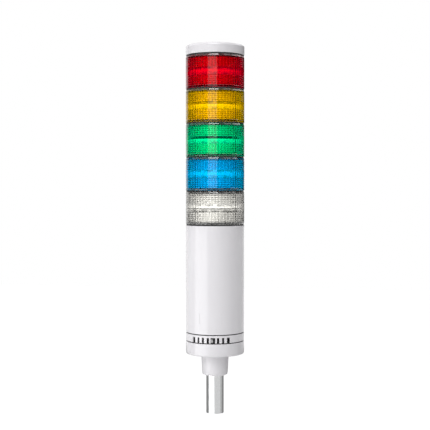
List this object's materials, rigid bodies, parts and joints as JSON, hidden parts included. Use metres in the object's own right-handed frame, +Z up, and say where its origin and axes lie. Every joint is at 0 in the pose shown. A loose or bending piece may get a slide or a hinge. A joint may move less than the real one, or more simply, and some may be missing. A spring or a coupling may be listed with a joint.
{
  "type": "stack light",
  "caption": "Pole-mounted stack light: red, amber, green, blue and clear lenses on a white body with a slotted buzzer band and volume lever.",
  "frame": {"origin": "centre of the pole's lower end", "axes": "+Z up the tower along the pole's axis; the front, with the sound slots and the volume lever, faces -Y"},
  "size_m": [0.06, 0.06, 0.3771],
  "materials": {
    "pole_metal": "polished",
    "white_shell": "fine satin moulding",
    "zinc_steel": "zinc plated",
    "pin_brass": "bright",
    "black_rubber": "smooth",
    "black_plastic": "matte",
    "grey_plastic": "satin",
    "board_green": "solder mask",
    "board_dark": "solder mask",
    "terminal_green": "matte",
    "capacitor_can": "sleeved can",
    "reflector_white": "bright",
    "lens_clear": "transparent moulding",
    "led_clear": "clear dome",
    "lens_blue": "transparent moulding",
    "led_blue": "clear dome",
    "lens_green": "transparent moulding",
    "led_green": "clear dome",
    "lens_amber": "transparent moulding",
    "led_amber": "clear dome",
    "lens_red": "transparent moulding",
    "led_red": "clear dome"
  },
  "bodies": {
    "tower": {"base_cup": "white_shell", "base_screws": "zinc_steel", "board_capacitors": "capacitor_can", "board_screws": "zinc_steel", "body_housing": "white_shell", "body_seal": "black_rubber", "bus_pins": "pin_brass", "buzzer": "black_plastic", "buzzer_holder": "black_plastic", "cap_screw": "zinc_steel", "clamp_plate": "zinc_steel", "driver_chips": "black_plastic", "gasket_1": "black_rubber", "gasket_2": "black_rubber", "gasket_3": "black_rubber", "gasket_4": "black_rubber", "gasket_5": "black_rubber", "gasket_6": "black_rubber", "led_board_amber": "board_dark", "led_board_blue": "board_dark", "led_board_clear": "board_dark", "led_board_green": "board_dark", "led_board_red": "board_dark", "leds_amber": "led_amber", "leds_blue": "led_blue", "leds_clear": "led_clear", "leds_green": "led_green", "leds_red": "led_red", "lens_amber": "lens_amber", "lens_blue": "lens_blue", "lens_clear": "lens_clear", "lens_green": "lens_green", "lens_red": "lens_red", "lower_reflector_amber": "reflector_white", "lower_reflector_blue": "reflector_white", "lower_reflector_clear": "reflector_white", "lower_reflector_green": "reflector_white", "lower_reflector_red": "reflector_white", "main_board": "board_green", "neck": "white_shell", "pole": "pole_metal", "pole_lock_nut": "zinc_steel", "pole_washer": "zinc_steel", "seat_plate": "black_plastic", "sound_band": "white_shell", "terminal_block": "terminal_green", "terminal_screws": "zinc_steel", "tie_rod_nuts": "zinc_steel", "tie_rods": "zinc_steel", "top_cap": "white_shell", "upper_reflector_amber": "reflector_white", "upper_reflector_blue": "reflector_white", "upper_reflector_clear": "reflector_white", "upper_reflector_green": "reflector_white", "upper_reflector_red": "reflector_white"},
    "shutter": {"volume_shutter": "black_plastic", "volume_lever": "grey_plastic"}
  },
  "joints": [
    {"name": "volume_turn", "type": "hinge", "parent": "tower", "child": "shutter", "pos_m": [0, 0, 0.0782], "axis": [0, 0, 1], "range_deg": [0, 4.4]}
  ]
}
